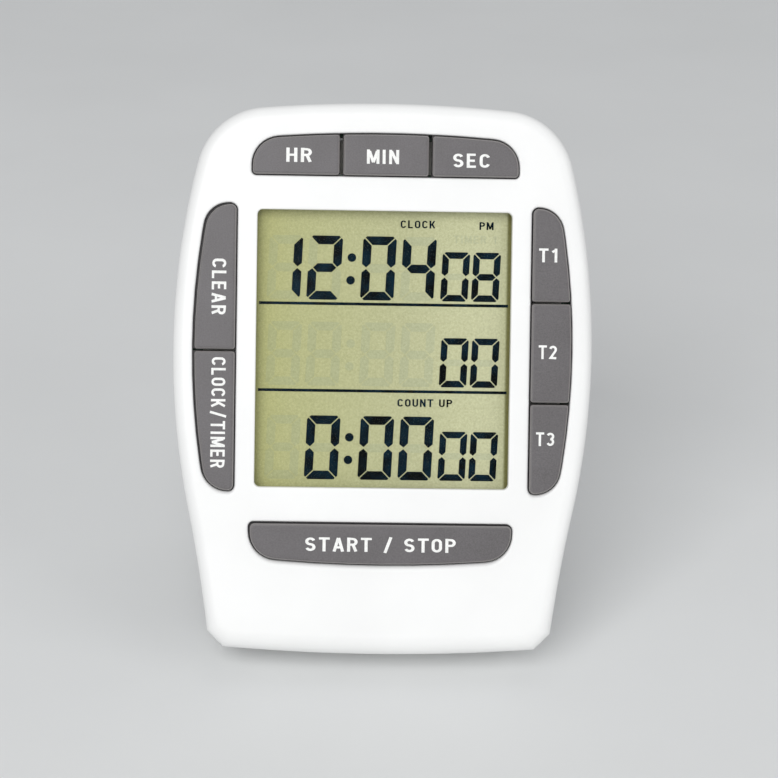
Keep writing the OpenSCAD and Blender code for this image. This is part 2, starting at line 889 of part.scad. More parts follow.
module battery_spring() {
    wire_r = 0.3;
    turns = 2.6;
    // The first turn is welded into the plate
    start = cup_left + contact_t + wire_r - 0.05;
    points = [for (i = [0:44])
        let (t = i / 44, a = 360 * turns * t, r = 3.9 - 1.8 * t)
        [start + (cell_left - wire_r - start) * t, cell_y + r * cos(a), cell_z + r * sin(a)]];
    color("silver") placed() {
        tube(points, wire_r);
        rod_x(cell_y, cell_z, 4.5, cup_left, cup_left + contact_t);
    }
}

module battery_contact() {
    color("silver") placed()
        rod_x(cell_y, cell_z, 4.5, cell_right, cup_right);
}

module battery_wires() {
    wire_r = 0.4;
    lead_y = cell_y + 0.9;
    solder_y = board_back_y + wire_r;
    color("crimson") placed()
        for (x = [cell_right - 0.45, cup_left + 0.9])
            tube([[x, lead_y, cell_z + 4.6], [x, lead_y, 17], [x * 0.95, lead_y, 18.5],
                [x * 0.85, solder_y, 21]], wire_r);
}

module magnets() {
    color("silver") placed()
        both_sides()
            rod_y(magnets_at, magnet_r, case_d - magnet_t, case_d);
}

// --- Assembly ---

front_shell();
rear_shell();
battery_door();
stand();
stand_pin();
display_window();
display_gasket();
lcd_front_polariser();
lcd_front_glass();
lcd_rear_glass();
lcd_reflector();
lcd_frame();
contact_strip_top();
contact_strip_bottom();
main_board();
chip_cover();
crystal();
capacitors();
resistors();
buzzer_coil();
buzzer_transistor();
key_contacts();
keypad_top();
keypad_left();
keypad_right();
keypad_start_stop();
buzzer_plate();
buzzer_ceramic();
buzzer_wires();
battery_cell();
battery_cap();
battery_spring();
battery_contact();
battery_wires();
case_screws();
board_screws();
magnets();
for (k = KEYS) {
    key(k);
    plunger(k);
}
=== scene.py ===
import json
import math

import bmesh
import bpy
from mathutils import Matrix, Vector

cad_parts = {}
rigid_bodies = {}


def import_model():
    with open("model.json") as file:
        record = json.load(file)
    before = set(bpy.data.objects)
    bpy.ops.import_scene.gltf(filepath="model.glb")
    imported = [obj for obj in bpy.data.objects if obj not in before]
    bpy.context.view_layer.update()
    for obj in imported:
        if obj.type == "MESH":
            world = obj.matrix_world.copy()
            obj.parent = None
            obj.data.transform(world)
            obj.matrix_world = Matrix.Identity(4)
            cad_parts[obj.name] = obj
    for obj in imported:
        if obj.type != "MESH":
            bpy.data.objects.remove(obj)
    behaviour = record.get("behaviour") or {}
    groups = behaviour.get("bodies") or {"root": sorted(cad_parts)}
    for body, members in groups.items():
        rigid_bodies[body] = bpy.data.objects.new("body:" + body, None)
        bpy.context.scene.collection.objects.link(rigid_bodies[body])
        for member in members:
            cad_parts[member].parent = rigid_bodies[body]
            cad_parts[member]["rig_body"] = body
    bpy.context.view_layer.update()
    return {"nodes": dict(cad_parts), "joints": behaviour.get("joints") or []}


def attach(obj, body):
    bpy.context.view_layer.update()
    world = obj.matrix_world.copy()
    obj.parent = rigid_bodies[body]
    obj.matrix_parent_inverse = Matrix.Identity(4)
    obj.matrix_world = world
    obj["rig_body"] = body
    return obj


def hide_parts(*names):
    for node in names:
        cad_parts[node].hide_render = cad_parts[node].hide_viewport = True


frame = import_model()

# A lab timer with three channels, drawn in its case's own frame in millimetres: X to the right, Y from the
# face (0) to the back, and Z up the face. CASE then turns, scales and moves a finished mesh into the frame.

MM = 0.001

# ---- Sizes of the design, in mm ----

CASE_W = 70
CASE_H = 92.2
WALL = 1.8
FRONT_D = 9
FACE_EDGE_R = 2.2
BOTTOM_ROLL = 0.9
BOTTOM_ROLL_HEIGHT = 9
BELLY_Z = 51
SIDE_R = 130
TOP_R = 230
TOP_CORNER_R = 12
BOTTOM_R = 324
FLANK_TOP_Z = 24
FLANK_R = 224
CHAMFER_LOW_X = 26.1
CHAMFER_HIGH_Z = 3.8

KEY_PROUD = 0.6
KEY_GAP = 0.2
KEY_EDGE_R = 0.4
KEY_MARGIN = 0.06
FLANGE_Y = 1.85
FLANGE_T = 0.8
FLANGE_REACH = 0.8
ROW_LOW, ROW_HIGH, ROW_R, ROW_HALF, ROW_CUT, ROW_SPLIT = 80.1, 86.9, 225, 22.05, 7.4, 0.6
START_LOW, START_HIGH, START_HALF, START_R = 15.4, 22.05, 21.8, 224
COLUMN_LOW, COLUMN_HIGH, COLUMN_IN, COLUMN_OUT, COLUMN_R = 27.5, 75, 24.65, 31.35, 126.3
COLUMN_SPLIT = 0.34
CLEAR_CUT = 50.8
TIMER_CUTS = (42.6, 59.4)

PIN_Y = 16.6
HINGE_Z = 54
POLARISER_Y = 3.2

WINDOW_CORNER_R = 0.9
WINDOW_COVER = 1.7
WINDOW_RIM_R = 0.22
RECESS_RIM_R = 0.3
INNER_EDGE = 0.6
PARTING_GROOVE = 0.12
SCREW_HEAD_R = 1.7
SCREW_STEP = 1.7
SCREW_BORE_R = 0.85
SCREW_POST_R = 2.5
SCREW_POST_SINK = 0.1
SCREW_BORE_FLOOR = 1

KEY_CORNER_R = 0.5
ROW_FOOT_R, ROW_END_R = 0.6, 4.5
COLUMN_INNER_R, COLUMN_OUTER_R = 0.9, 4.1
START_TOP_R, START_END_R = 0.8, 4.5

# ---- Where the case lies in the frame ----

joints = {joint["name"]: joint for joint in frame["joints"]}
inward = Vector(joints["key_hour_press"]["axis"])
hinge = Vector(joints["stand_hinge"]["pos_m"])
LEAN = math.atan2(-inward.z, inward.y)
TURN = Matrix.Rotation(-LEAN, 4, "X")
CASE = Matrix.Translation(hinge - TURN @ (Vector((0, PIN_Y, HINGE_Z)) * MM)) @ TURN @ Matrix.Scale(MM, 4)

# ---- Outlines: lists of (x, z), anticlockwise as the face is seen ----


def arc(centre, radius, start, end, steps):
    angles = [math.radians(start + (end - start) * i / steps) for i in range(steps + 1)]
    return [(centre[0] + radius * math.cos(a), centre[1] + radius * math.sin(a)) for a in angles]


def side_x(z, out=CASE_W / 2, radius=SIDE_R):
    return out - radius + math.sqrt(radius ** 2 - (z - BELLY_Z) ** 2)


def top_z(x, crown, radius):
    return crown - radius + math.sqrt(radius ** 2 - x ** 2)


def bottom_z(x, low, radius):
    return low + radius - math.sqrt(radius ** 2 - x ** 2)


def mirrored(points):
    return [(-x, z) for x, z in reversed(points)]


def between(a, b, steps):
    """The values strictly between a and b"""
    return [a + (b - a) * i / steps for i in range(1, steps)]


def case_outline():
    """Bottom arc, cut corner, hollow flank, side arc, corner and top arc, then the same mirrored"""
    side = Vector((CASE_W / 2 - SIDE_R, BELLY_Z))
    top = Vector((0, CASE_H - TOP_R))
    way = top - side
    reach, far = SIDE_R - TOP_CORNER_R, TOP_R - TOP_CORNER_R
    along = (reach ** 2 - far ** 2 + way.length ** 2) / (2 * way.length)
    way.normalize()
    corner = side + way * along + Vector((-way.y, way.x)) * math.sqrt(reach ** 2 - along ** 2)
    side_end = math.degrees(math.atan2(corner.y - side.y, corner.x - side.x))
    top_start = math.degrees(math.atan2(corner.y - top.y, corner.x - top.x))
    side_start = math.degrees(math.asin((FLANK_TOP_Z - BELLY_Z) / SIDE_R))
    slope = (BELLY_Z - FLANK_TOP_Z) / (side_x(FLANK_TOP_Z) - side.x)

    def flank_x(z):
        below = FLANK_TOP_Z - z
        return side_x(FLANK_TOP_Z) - slope * below + below ** 2 / (2 * FLANK_R)

    right = [(x, bottom_z(x, 0, BOTTOM_R)) for x in between(0, CHAMFER_LOW_X, 14) + [CHAMFER_LOW_X]]
    right += [(flank_x(z), z) for z in [CHAMFER_HIGH_Z] + between(CHAMFER_HIGH_Z, FLANK_TOP_Z, 12)]
    right += arc(side, SIDE_R, side_start, side_end, 36)
    right += arc(corner, TOP_CORNER_R, side_end, top_start, 18)[1:-1]
    right += arc(top, TOP_R, top_start, 90, 14)[:-1]
    return [(0, 0)] + right + [(0, CASE_H)] + mirrored(right)


def mitres(points):
    """For each point, the move that takes both its edges outwards by 1"""
    moves = []
    for i, point in enumerate(points):
        here = Vector(point)
        before = (here - Vector(points[i - 1])).normalized()
        after = (Vector(points[(i + 1) % len(points)]) - here).normalized()
        n1, n2 = Vector((before.y, -before.x)), Vector((after.y, -after.x))
        moves.append((n1 + n2) / (1 + n1.dot(n2)))
    return moves


def grown(points, distance):
    return [(x + distance * m.x, z + distance * m.y) for (x, z), m in zip(points, mitres(points))]


def rounded(corners, steps=8):
    """Corners (x, z, radius) as an outline; a radius of 0 leaves a point as it is"""
    points = []
    for i, (x, z, radius) in enumerate(corners):
        if radius == 0:
            points.append((x, z))
            continue
        here = Vector((x, z))
        u = (Vector(corners[i - 1][:2]) - here).normalized()
        v = (Vector(corners[(i + 1) % len(corners)][:2]) - here).normalized()
        half = u.angle(v) / 2
        centre = here + (u + v).normalized() * radius / math.sin(half)
        start = here + u * radius / math.tan(half) - centre
        first = math.degrees(math.atan2(start.y, start.x))
        points += arc(centre, radius, first, first + 180 - 2 * math.degrees(half), steps)
    return points


def row_key(x0, x1, radii):
    """A key of the top row; radii are its corners', anticlockwise from the lower left"""
    low_left, low_right, right, left = radii
    crown = [(x, top_z(x, ROW_HIGH, ROW_R), 0) for x in between(x1, x0, round((x1 - x0) / 4.8))]
    feet = [(x0, ROW_LOW, low_left), (x1, ROW_LOW, low_right)]
    return rounded(feet + [(x1, top_z(x1, ROW_HIGH, ROW_R), right)] + crown
                   + [(x0, top_z(x0, ROW_HIGH, ROW_R), left)])


def column_key(z0, z1, radii):
    """A key of the right-hand column"""
    low_left, low_right, right, left = radii
    belly = [(side_x(z, COLUMN_OUT, COLUMN_R), z, 0) for z in between(z0, z1, round((z1 - z0) / 5))]
    return rounded([(COLUMN_IN, z0, low_left), (side_x(z0, COLUMN_OUT, COLUMN_R), z0, low_right)]
                   + belly + [(side_x(z1, COLUMN_OUT, COLUMN_R), z1, right), (COLUMN_IN, z1, left)])


def start_key():
    """The long key at the bottom"""
    end = bottom_z(START_HALF, START_LOW, START_R)
    belly = [(x, bottom_z(x, START_LOW, START_R), 0) for x in between(-START_HALF, START_HALF, 8)]
    return rounded([(-START_HALF, START_HIGH, START_TOP_R), (-START_HALF, end, START_END_R)] + belly
                   + [(START_HALF, end, START_END_R), (START_HALF, START_HIGH, START_TOP_R)])


OUTLINE = case_outline()
ROW_ZONE = row_key(-ROW_HALF, ROW_HALF, (ROW_FOOT_R, ROW_FOOT_R, ROW_END_R, ROW_END_R))
RIGHT_ZONE = column_key(COLUMN_LOW, COLUMN_HIGH,
                        (COLUMN_INNER_R, COLUMN_OUTER_R, COLUMN_OUTER_R, COLUMN_INNER_R))
LEFT_ZONE = mirrored(RIGHT_ZONE)
START_ZONE = start_key()
ROW_GAP, COLUMN_GAP = ROW_SPLIT / 2, COLUMN_SPLIT / 2
FAR = 100

# Corner radii of a column's top key, its bottom key, and a key with neighbours on both sides
TOP_KEY = (KEY_CORNER_R, KEY_CORNER_R, COLUMN_OUTER_R, COLUMN_INNER_R)
FOOT_KEY = (COLUMN_INNER_R, COLUMN_OUTER_R, KEY_CORNER_R, KEY_CORNER_R)
INNER_KEY = (KEY_CORNER_R,) * 4
HOUR_KEY = (ROW_FOOT_R, KEY_CORNER_R, KEY_CORNER_R, ROW_END_R)
SECOND_KEY = (KEY_CORNER_R, ROW_FOOT_R, ROW_END_R, KEY_CORNER_R)

# Name, outline, the recess it shares, and the lowest and highest (x, z) that its flange may reach
KEYS = [
    ("hour", row_key(-ROW_HALF, -ROW_CUT - ROW_GAP, HOUR_KEY), ROW_ZONE,
     (-FAR, -FAR), (-ROW_CUT - ROW_GAP, FAR)),
    ("minute", row_key(-ROW_CUT + ROW_GAP, ROW_CUT - ROW_GAP, INNER_KEY), ROW_ZONE,
     (-ROW_CUT + ROW_GAP, -FAR), (ROW_CUT - ROW_GAP, FAR)),
    ("second", row_key(ROW_CUT + ROW_GAP, ROW_HALF, SECOND_KEY), ROW_ZONE,
     (ROW_CUT + ROW_GAP, -FAR), (FAR, FAR)),
    ("clear", mirrored(column_key(CLEAR_CUT + COLUMN_GAP, COLUMN_HIGH, TOP_KEY)), LEFT_ZONE,
     (-FAR, CLEAR_CUT + COLUMN_GAP), (FAR, FAR)),
    ("mode", mirrored(column_key(COLUMN_LOW, CLEAR_CUT - COLUMN_GAP, FOOT_KEY)), LEFT_ZONE,
     (-FAR, -FAR), (FAR, CLEAR_CUT - COLUMN_GAP)),
    ("timer_1", column_key(TIMER_CUTS[1] + COLUMN_GAP, COLUMN_HIGH, TOP_KEY), RIGHT_ZONE,
     (-FAR, TIMER_CUTS[1] + COLUMN_GAP), (FAR, FAR)),
    ("timer_2", column_key(TIMER_CUTS[0] + COLUMN_GAP, TIMER_CUTS[1] - COLUMN_GAP, INNER_KEY), RIGHT_ZONE,
     (-FAR, TIMER_CUTS[0] + COLUMN_GAP), (FAR, TIMER_CUTS[1] - COLUMN_GAP)),
    ("timer_3", column_key(COLUMN_LOW, TIMER_CUTS[0] - COLUMN_GAP, FOOT_KEY), RIGHT_ZONE,
     (-FAR, -FAR), (FAR, TIMER_CUTS[0] - COLUMN_GAP)),
    ("start_stop", START_ZONE, START_ZONE, (-FAR, -FAR), (FAR, FAR)),
]

# ---- Materials ----


def colour(code):
    """An sRGB hex value as linear red, green, blue and alpha"""
    parts = [int(code[i:i + 2], 16) / 255 for i in (1, 3, 5)]
    return [p / 12.92 if p <= 0.04045 else ((p + 0.055) / 1.055) ** 2.4 for p in parts] + [1]


def add(material, kind, inputs=None, **settings):
    """Adds a node with its settings; inputs are values, or the outputs that feed them"""
    node = material.node_tree.nodes.new(kind)
    for name, value in settings.items():
        setattr(node, name, value)
    for name, value in (inputs or {}).items():
        if isinstance(value, bpy.types.NodeSocket):
            material.node_tree.links.new(value, node.inputs[name])
        else:
            node.inputs[name].default_value = value
    return node


def finish(name, shader_inputs, build=None):
    """A material of one Principled shader; build(material) gives the inputs that come from patterns"""
    material = bpy.data.materials.new(name)
    material.use_nodes = True
    material.node_tree.nodes.clear()
    inputs = dict(shader_inputs)
    if build:
        inputs.update(build(material))
    shader = add(material, "ShaderNodeBsdfPrincipled", inputs)
    add(material, "ShaderNodeOutputMaterial", {"Surface": shader.outputs[0]})
    return material


def noise(material, size_mm, detail=2.0, rough=0.5):
    """Noise whose lumps are about size_mm across"""
    place = add(material, "ShaderNodeTexCoord").outputs["Object"]
    return add(material, "ShaderNodeTexNoise", {"Vector": place, "Scale": 1 / (size_mm * MM),
                                                "Detail": detail, "Roughness": rough}).outputs["Fac"]


def tones(material, fac, *stops):
    """A colour ramp of (place, hex) stops"""
    ramp = add(material, "ShaderNodeValToRGB", {"Fac": fac})
    for i, (place, code) in enumerate(stops):
        stop = ramp.color_ramp.elements[i] if i < 2 else ramp.color_ramp.elements.new(place)
        stop.position = place
        stop.color = colour(code)
    return ramp.outputs["Color"]


def scaled(material, value, low, high, to_low, to_high):
    """A value carried from one range to another"""
    return add(material, "ShaderNodeMapRange", {"Value": value, "From Min": low, "From Max": high,
                                                "To Min": to_low, "To Max": to_high}).outputs["Result"]


def grained(name, dark, light, roughness, drift_mm, grain_mm, lift_mm, **shader_inputs):
    """A surface whose tone drifts from dark to light, with a fine grain in its gloss and its height"""
    def patterns(material):
        grain = noise(material, grain_mm)
        drift = noise(material, drift_mm, 3.0)
        bump = add(material, "ShaderNodeBump", {"Height": grain, "Distance": lift_mm * MM, "Strength": 1.0})
        return {"Base Color": tones(material, drift, (0.35, dark), (0.65, light)),
                "Roughness": scaled(material, grain, 0.3, 0.7, roughness - 0.06, roughness + 0.06),
                "Normal": bump.outputs["Normal"]}
    return finish(name, shader_inputs, patterns)


def moulded_white_abs():
    # Opaque white ABS from a spark-eroded mould: a soft sheen broken by a grain of about 0.3 mm
    return grained("moulded_white_abs", "#F4F4F3", "#F8F8F7", 0.42, 18, 0.3, 0.004, IOR=1.54)


def moulded_grey_abs():
    # Grey ABS keys, satin: paler and darker specks, 0.22 mm so that they show, and a painted highlight that
    # makes the rolled edges paler
    def patterns(material):
        speck = noise(material, 0.22, 1.0)
        drift = noise(material, 7, 2.0)
        even = tones(material, drift, (0.3, "#5A5657"), (0.7, "#646062"))
        specks = tones(material, speck, (0.3, "#504D4E"), (0.7, "#6E6B6D"))
        # Painted highlight: where the 'edge' weight peaks on the rolled edge, the colour is mixed towards a
        # paler grey
        edge_highlight_mask = add(material, "ShaderNodeAttribute", attribute_name="edge").outputs["Fac"]
        body = mixed(material, 0.45, even, specks)
        bump = add(material, "ShaderNodeBump", {"Height": speck, "Distance": 0.006 * MM, "Strength": 1.0})
        painted_edge_highlight = scaled(material, edge_highlight_mask, 0, 1, 0, 0.6)
        return {"Base Color": mixed(material, painted_edge_highlight, body, colour("#A19D9A")),
                "Roughness": scaled(material, speck, 0.3, 0.7, 0.36, 0.5),
                "Normal": bump.outputs["Normal"]}
    return finish("moulded_grey_abs", {"IOR": 1.54}, patterns)


def mixed(material, factor, first, second, kind="MIX"):
    """Two colours mixed"""
    node = add(material, "ShaderNodeMix", data_type="RGBA", blend_type=kind)
    for socket, value in ((node.inputs[0], factor), (node.inputs[6], first), (node.inputs[7], second)):
        if isinstance(value, bpy.types.NodeSocket):
            material.node_tree.links.new(value, socket)
        else:
            socket.default_value = value
    return node.outputs[2]


def pad_printed_ink():
    # White epoxy ink, pad printed: matt, a little uneven where the pad lifted
    return grained("pad_printed_ink", "#EDEDEA", "#FBFBF9", 0.55, 0.8, 0.15, 0.003)


def clear(name, tint, veil, roughness, size_mm):
    """A clear sheet: nearly all of the light passes, and the rest is a veil of its tint"""
    def patterns(material):
        return {"Alpha": scaled(material, noise(material, size_mm), 0.2, 0.8, veil * 0.7, veil * 1.3)}
    return finish(name, {"Base Color": colour(tint), "Roughness": roughness, "IOR": 1.49}, patterns)


def cast_acrylic():
    # Clear acrylic sheet, polished: glossy, with a faint haze
    return clear("cast_acrylic", "#6C7058", 0.015, 0.08, 12)


def float_glass():
    # Thin float glass of the display's cell: clear, a touch green
    return clear("float_glass", "#8D9A86", 0.03, 0.05, 15)


def film_with_painted_shade(material):
    """The colour of the film behind the display, with painted shade: darker to the left and paler to the
    right, and a painted shadow of the recess's right wall as a dark band along the right edge
    """
    place = add(material, "ShaderNodeTexCoord").outputs["Object"]
    axes = add(material, "ShaderNodeSeparateXYZ", {"Vector": place})
    across = scaled(material, axes.outputs["X"], -0.0225, 0.0225, 0, 1)
    # Painted shade: darker and more yellow at the left edge, paler to the right, and past about x = 20.8 mm a
    # dark olive band that is a painted shadow of the recess's right wall
    wash = tones(material, across, (0.0, "#BEBE7F"), (0.16, "#C3C48F"), (0.6, "#CBCCA2"), (0.93, "#DADBB4"),
                 (0.955, "#D4D5AC"), (0.962, "#7C7A46"))
    flake = tones(material, noise(material, 0.35, 3.0, 0.7), (0.25, "#DCDCD4"), (0.75, "#FFFFFF"))
    return mixed(material, 1.0, wash, flake, "MULTIPLY")


def polarising_film():
    # The display through its front polariser: the olive of the reflecting film behind, satin, finely flaked,
    # with painted shade at its left and right edges
    def patterns(material):
        return {"Base Color": film_with_painted_shade(material)}
    return finish("polarising_film", {"Roughness": 0.5, "Specular IOR Level": 0.2}, patterns)


def dark_segments():
    # Driven liquid crystal between crossed polarisers: blue-black, with no gloss as it lies inside the glass
    return grained("dark_segments", "#01040A", "#05202F", 0.8, 3, 0.4, 0.001, **{"Specular IOR Level": 0.05})


def faint_segments():
    # Undriven electrodes: only a trace bluer and darker than the film behind
    def patterns(material):
        return {"Base Color": mixed(material, 0.16, film_with_painted_shade(material), colour("#7C918C"))}
    return finish("faint_segments", {"Roughness": 0.5, "Specular IOR Level": 0.2}, patterns)


def foam_gasket():
    # Black polyurethane foam: matt, with open cells of about 0.4 mm
    return grained("foam_gasket", "#1B1C19", "#26271F", 0.9, 2, 0.4, 0.05)


def silicone():
    # Cast silicone rubber, grey-white and slightly waxy
    return grained("silicone", "#C9C8C2", "#D6D5CF", 0.5, 4, 0.3, 0.004)


def striped_rubber():
    # Elastomer connector: carbon-black stripes 0.2 mm apart in pink silicone
    def patterns(material):
        place = add(material, "ShaderNodeTexCoord").outputs["Object"]
        bands = add(material, "ShaderNodeTexWave", {"Vector": place, "Scale": 1 / (0.2 * MM * 20)},
                    bands_direction="X").outputs["Fac"]
        return {"Base Color": tones(material, bands, (0.45, "#2A2523"), (0.55, "#C98F8A"))}
    return finish("striped_rubber", {"Roughness": 0.6}, patterns)


def board_laminate():
    # Glass-epoxy board under green solder mask, with the weave's 0.5 mm grid just visible
    def patterns(material):
        place = add(material, "ShaderNodeTexCoord").outputs["Object"]
        cells = add(material, "ShaderNodeTexChecker", {"Vector": place, "Scale": 1 / (0.5 * MM),
                    "Color1": colour("#14502C"), "Color2": colour("#165932")}).outputs["Color"]
        wash = tones(material, noise(material, 9), (0.3, "#D8D8D8"), (0.7, "#FFFFFF"))
        return {"Base Color": mixed(material, 1.0, cells, wash, "MULTIPLY")}
    return finish("board_laminate", {"Roughness": 0.3, "Coat Weight": 0.4}, patterns)


def nickel_plate():
    # Nickel-plated sheet and wire: bright, with fine rolling marks
    return grained("nickel_plate", "#C6C3BC", "#D8D6D0", 0.24, 5, 0.15, 0.002, Metallic=1.0)


def drawn_steel():
    # Drawn and zinc-plated steel: cooler and duller than nickel
    return grained("drawn_steel", "#A9ABAE", "#BFC1C4", 0.34, 4, 0.12, 0.003, Metallic=1.0)


def ground_nickel_magnet():
    # Sintered magnet, nickel plated and tumbled: a soft mirror with small dents
    return grained("ground_nickel_magnet", "#C3C2BF", "#CCCBC8", 0.26, 6, 0.4, 0.002, Metallic=1.0)


def printed_carbon():
    # Carbon ink screened on the key contacts: matt and nearly black
    return grained("printed_carbon", "#18181A", "#232325", 0.75, 2, 0.1, 0.003)


def rolled_brass():
    # Thin rolled brass of the sounder's plate
    return grained("rolled_brass", "#B08D3C", "#C8A552", 0.3, 3, 0.1, 0.002, Metallic=1.0)


def fired_ceramic():
    # Piezo ceramic with its silvered face, matt cream
    return grained("fired_ceramic", "#D5CDB8", "#E4DDCA", 0.6, 2, 0.15, 0.004)


def potting_resin():
    # Black epoxy dropped on the chip and cast round the small parts: semi-gloss
    return grained("potting_resin", "#0B0B0B", "#161616", 0.28, 3, 0.6, 0.01)


def shrink_sleeve():
    # Dark blue PVC sleeve shrunk on the capacitors
    return grained("shrink_sleeve", "#141F3F", "#1C2B55", 0.3, 2, 0.3, 0.004)


def wound_ferrite():
    # Ferrite bobbin with enamelled copper showing between its flanges
    return grained("wound_ferrite", "#3A2014", "#7A3E1E", 0.35, 0.5, 0.15, 0.02)


def wire_sleeve():
    # Extruded red PVC insulation, smooth
    return grained("wire_sleeve", "#8E1519", "#A81C20", 0.35, 3, 0.2, 0.003)


def printed_cell_sleeve():
    # Plastic film shrunk on the dry cell: plain slate grey with a paler band at one end
    def patterns(material):
        place = add(material, "ShaderNodeTexCoord").outputs["Object"]
        x = add(material, "ShaderNodeSeparateXYZ", {"Vector": place}).outputs["X"]
        along = scaled(material, x, -0.022, 0.022, 0, 1)
        return {"Base Color": tones(material, along, (0.8, "#3C4046"), (0.81, "#8E9299")),
                "Roughness": scaled(material, noise(material, 1), 0.3, 0.7, 0.25, 0.35)}
    return finish("printed_cell_sleeve", {"Coat Weight": 0.3}, patterns)


def studio_floor():
    # Matt pale board that the timer stands on
    return grained("studio_floor", "#E4E5E5", "#E7E8E8", 0.75, 60, 1.5, 0.01)


ABS = moulded_white_abs()
GREY = moulded_grey_abs()
INK = pad_printed_ink()
DARK = dark_segments()
FAINT = faint_segments()
METAL = nickel_plate()
STEEL = drawn_steel()
RESIN = potting_resin()
RUBBER = silicone()
GLASS = float_glass()
FILM = polarising_film()
STRIPES = striped_rubber()
LEADS = wire_sleeve()

CAD_FINISHES = {
    "front_shell": ABS, "rear_shell": ABS, "battery_door": ABS, "stand": ABS, "lcd_frame": ABS,
    "stand_pin": STEEL, "case_screws": STEEL, "board_screws": STEEL,
    "display_window": cast_acrylic(), "display_gasket": foam_gasket(),
    "lcd_front_polariser": FILM, "lcd_front_glass": GLASS, "lcd_rear_glass": GLASS,
    "lcd_reflector": FILM, "contact_strip_top": STRIPES, "contact_strip_bottom": STRIPES,
    "main_board": board_laminate(), "chip_cover": RESIN, "resistors": RESIN, "buzzer_transistor": RESIN,
    "crystal": METAL, "capacitors": shrink_sleeve(), "buzzer_coil": wound_ferrite(),
    "key_contacts": printed_carbon(),
    "buzzer_plate": rolled_brass(), "buzzer_ceramic": fired_ceramic(), "buzzer_wires": LEADS,
    "battery_wires": LEADS, "battery_cell": printed_cell_sleeve(), "battery_cap": METAL,
    "battery_spring": METAL, "battery_contact": METAL, "magnets": ground_nickel_magnet(),
}


def finish_cad_nodes():
    for name, node in frame["nodes"].items():
        kind = CAD_FINISHES.get(name, GREY if name.startswith("key_") else RUBBER)
        if not node.material_slots:
            node.data.materials.append(kind)
        for place in node.material_slots:
            place.material = kind


# ---- Mesh work ----


def ring(bm, points, depth):
    """A closed loop of edges at one depth"""
    loop = [bm.verts.new((x, depth, z)) for x, z in points]
    for a, b in zip(loop, loop[1:] + loop[:1]):
        bm.edges.new((a, b))
    return loop


def edges_of(bm, loop):
    return [bm.edges.get((a, b)) for a, b in zip(loop, loop[1:] + loop[:1])]


def onward(bm, loop, points, depths):
    """Extrudes a loop of edges to new points; depths is one depth, or one for each point"""
    made = set(bmesh.ops.extrude_edge_only(bm, edges=edges_of(bm, loop))["geom"])
    ahead = [next(e.other_vert(v) for e in v.link_edges if e.other_vert(v) in made) for v in loop]
    if not isinstance(depths, list):
        depths = [depths] * len(loop)
    for vert, (x, z), depth in zip(ahead, points, depths):
        vert.co = (x, depth, z)
    return ahead


def roll(bm, loop, points, radii, face, sign, steps=6, margin=0.25):
    """Takes a loop round an edge up to the flat at depth face, with a margin on the flat to keep it flat.
    sign is -1 where the edge rolls inwards, as on a lid, and 1 where it rolls outwards, as round a hole."""
    moves = mitres(points)

    def places(reach):
        return [(x + sign * r * m.x, z + sign * r * m.y) for (x, z), m, r in zip(points, moves, reach)]

    for i in range(1, steps + 1):
        angle = math.pi / 2 * i / steps
        depths = [face + r * (1 - math.sin(angle)) for r in radii]
        loop = onward(bm, loop, places([r * (1 - math.cos(angle)) for r in radii]), depths)
    return onward(bm, loop, places([r + margin for r in radii]), face)


def fill(bm, loops):
    """One flat face between the loops: the first is its border and the others are holes"""
    edges = [edge for loop in loops for edge in edges_of(bm, loop)]
    bmesh.ops.triangle_fill(bm, use_beauty=True, use_dissolve=False, edges=edges)


def piece(name, bm, body, material, stands_for=(), place=CASE, sharp=40):
    """A finished piece: its place in its mesh, its faces outwards, its body, slot and material"""
    bmesh.ops.transform(bm, matrix=place, verts=bm.verts)
    bmesh.ops.remove_doubles(bm, verts=bm.verts, dist=MM / 10000)
    bmesh.ops.recalc_face_normals(bm, faces=bm.faces)
    mesh = bpy.data.meshes.new(name)
    bm.to_mesh(mesh)
    bm.free()
    mesh.shade_smooth()
    mesh.set_sharp_from_angle(angle=math.radians(sharp))
    mesh.materials.append(material)
    made = bpy.data.objects.new(name, mesh)
    bpy.context.scene.collection.objects.link(made)
    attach(made, body)
    if stands_for:
        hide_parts(*stands_for)
    return made


def spun(bm, profile, at):
    """Turns a profile of (radius, depth) points about a line through at, along Y"""
    verts = [bm.verts.new((at[0] + r, y, at[1])) for r, y in profile]
    edges = [bm.edges.new(pair) for pair in zip(verts, verts[1:])]
    bmesh.ops.spin(bm, geom=verts + edges, cent=(at[0], 0, at[1]), axis=(0, 1, 0), angle=math.tau, steps=32,
                   use_merge=True)


# ---- Places taken from the frame ----


def case_span(name):
    """Lowest and highest corner of a CAD node in the case's own frame, in mm"""
    back = CASE.inverted()
    places = [back @ v.co for v in frame["nodes"][name].data.vertices]
    return (Vector(min(p[i] for p in places) for i in range(3)),
            Vector(max(p[i] for p in places) for i in range(3)))


def window_span():
    """The display's opening: the clear window less what the case covers all round"""
    covered = Vector((WINDOW_COVER, 0, WINDOW_COVER))
    low, high = case_span("display_window")
    return low + covered, high - covered


def screw_places():
    """The four case screws: two pairs, the upper one nearer the middle by SCREW_STEP"""
    low, high = case_span("case_screws")
    upper = (high.x - SCREW_STEP - SCREW_HEAD_R, high.z - SCREW_HEAD_R)
    lower = (high.x - SCREW_HEAD_R, low.z + SCREW_HEAD_R)
    return [(side * x, z) for side in (1, -1) for x, z in (upper, lower)]


# ---- Front shell ----


def wider(points, toward, extra):
    """A recess: its key's outline and gap, opened a little more on one side"""
    side = Vector(toward).normalized()
    recess = []
    for (x, z), move in zip(points, mitres(points)):
        gap = KEY_GAP + extra * max(0, move.normalized().dot(side)) ** 2
        recess.append((x + move.x * gap, z + move.y * gap))
    return recess


def rim(points, radius, below):
    """The radius of a recess's rim at each point, larger along its lower edge"""
    return [radius + below * max(0, -m.y) ** 2 for m in mitres(points)]


